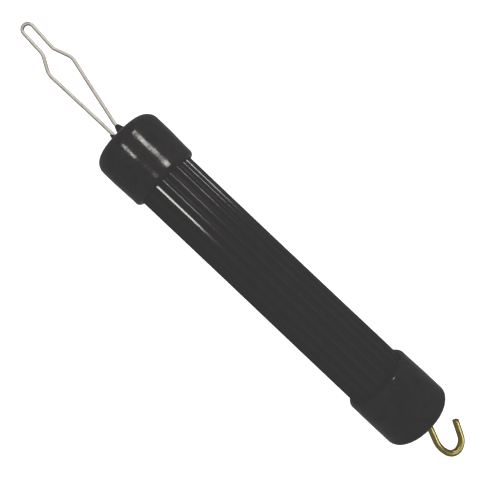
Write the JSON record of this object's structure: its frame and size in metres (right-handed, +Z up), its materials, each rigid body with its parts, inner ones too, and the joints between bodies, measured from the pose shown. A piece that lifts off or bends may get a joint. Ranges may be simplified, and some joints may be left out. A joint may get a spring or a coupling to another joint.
{
  "type": "button hook and zipper pull",
  "caption": "One-handed dressing aid: a ribbed round handle with a bent steel wire loop for pulling buttons at one end and a small brass hook for pulling zippers at the other.",
  "frame": {"origin": "on the surface that the tool lies on, under the middle of its whole length and width", "axes": "+X along the handle towards the button loop, +Z up; the loop and the hook are bent flat in the XY plane"},
  "size_m": [0.189, 0.0242, 0.0242],
  "materials": {
    "core_wood": "sanded, unfinished",
    "grip_vinyl": "satin gloss, extruded ribs",
    "cap_vinyl": "glossy dip-moulded vinyl",
    "loop_steel": "drawn wire, warm grey",
    "collar_rubber": "black, semi-matte",
    "hook_brass": "bright drawn wire"
  },
  "bodies": {
    "root": {"core_dowel": "core_wood", "ribbed_grip": "grip_vinyl", "loop_end_cap": "cap_vinyl", "hook_end_cap": "cap_vinyl", "button_loop": "loop_steel", "loop_collar_left": "collar_rubber", "loop_collar_right": "collar_rubber", "zipper_hook": "hook_brass"}
  },
  "joints": []
}
